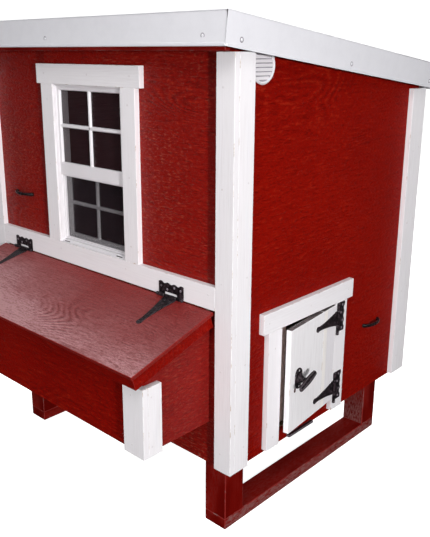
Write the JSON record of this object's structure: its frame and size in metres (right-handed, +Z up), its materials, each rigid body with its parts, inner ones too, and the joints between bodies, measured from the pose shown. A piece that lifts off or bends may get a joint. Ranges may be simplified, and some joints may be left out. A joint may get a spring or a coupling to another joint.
{
  "type": "chicken coop",
  "caption": "Small raised hen house with a shed roof, sash window, outside nest box under a lift-up lid and a side door with a turn latch, on legs and skids.",
  "frame": {"origin": "on the ground, at the middle of the whole coop's footprint box at rest, which includes the nest box, the roof and the latch handle", "axes": "+Z up; +X towards the side with the hens' door; -Y towards the front with the window and the nest box"},
  "size_m": [1.312, 1.3888, 1.5615],
  "materials": {
    "red_paint": "satin painted embossed panel",
    "dark_red_paint": "satin brushed paint",
    "white_paint": "satin painted boards",
    "window_vinyl": "smooth",
    "window_glass": "clear, dark inside",
    "roof_metal": "satin white sheet",
    "bare_wood": "unpainted",
    "black_iron": "black powder coat"
  },
  "bodies": {
    "coop": {"front_wall": "red_paint", "rear_wall": "red_paint", "right_wall": "red_paint", "left_wall": "red_paint", "nest_front": "red_paint", "nest_side_right": "red_paint", "nest_side_left": "red_paint", "skid_right": "dark_red_paint", "leg_front_right": "dark_red_paint", "leg_rear_right": "dark_red_paint", "skid_left": "dark_red_paint", "leg_front_left": "dark_red_paint", "leg_rear_left": "dark_red_paint", "eave_board": "dark_red_paint", "corner_trim_front_right": "white_paint", "corner_trim_rear_right": "white_paint", "corner_trim_front_left": "white_paint", "corner_trim_rear_left": "white_paint", "belly_band": "white_paint", "window_head_trim": "white_paint", "window_trim_left": "white_paint", "window_trim_right": "white_paint", "nest_trim_right": "white_paint", "nest_trim_left": "white_paint", "door_head_trim": "white_paint", "door_trim_front": "white_paint", "door_trim_rear": "white_paint", "window_frame": "window_vinyl", "vent": "window_vinyl", "window_glass_upper": "window_glass", "roof_sheet": "roof_metal", "fascia_front": "roof_metal", "fascia_rear": "roof_metal", "fascia_right": "roof_metal", "fascia_left": "roof_metal", "floor_platform": "bare_wood", "roost_bar": "bare_wood", "roof_deck": "bare_wood", "nest_floor": "bare_wood", "nest_divider_right": "bare_wood", "nest_divider_left": "bare_wood", "door_stop_strip": "bare_wood", "lid_hinge_right_leaf": "black_iron", "lid_hinge_left_leaf": "black_iron", "door_hinge_upper_leaf": "black_iron", "door_hinge_lower_leaf": "black_iron", "bow_handle_front": "black_iron", "bow_handle_side": "black_iron", "ramp_hanger": "black_iron"},
    "pop_door": {"pop_door": "white_paint", "door_hinge_upper_strap": "black_iron", "door_hinge_lower_strap": "black_iron", "latch_plate": "black_iron"},
    "latch": {"latch_handle": "black_iron"},
    "nest_lid": {"nest_lid": "red_paint", "nest_lid_lip": "red_paint", "lid_hinge_right_strap": "black_iron", "lid_hinge_left_strap": "black_iron"},
    "window_sash": {"window_sash": "window_vinyl", "window_glass_lower": "window_glass"}
  },
  "joints": [
    {"name": "pop_door_hinge", "type": "hinge", "parent": "coop", "child": "pop_door", "pos_m": [0.58799, 0.15039, 0.48], "axis": [0, 0, 1], "range_deg": [-6, 159]},
    {"name": "latch_turn", "type": "hinge", "parent": "pop_door", "child": "latch", "pos_m": [0.60894, -0.09677, 0.481], "axis": [0.9945, 0.1045, 0], "range_deg": [-106, 0]},
    {"name": "nest_lid_hinge", "type": "hinge", "parent": "coop", "child": "nest_lid", "pos_m": [-0.02651, -0.39061, 0.75965], "axis": [-1, 0, 0], "range_deg": [0, 107]},
    {"name": "window_sash_slide", "type": "slide", "parent": "coop", "child": "window_sash", "axis": [0, 0, 1], "range_m": [0, 0.24]}
  ]
}
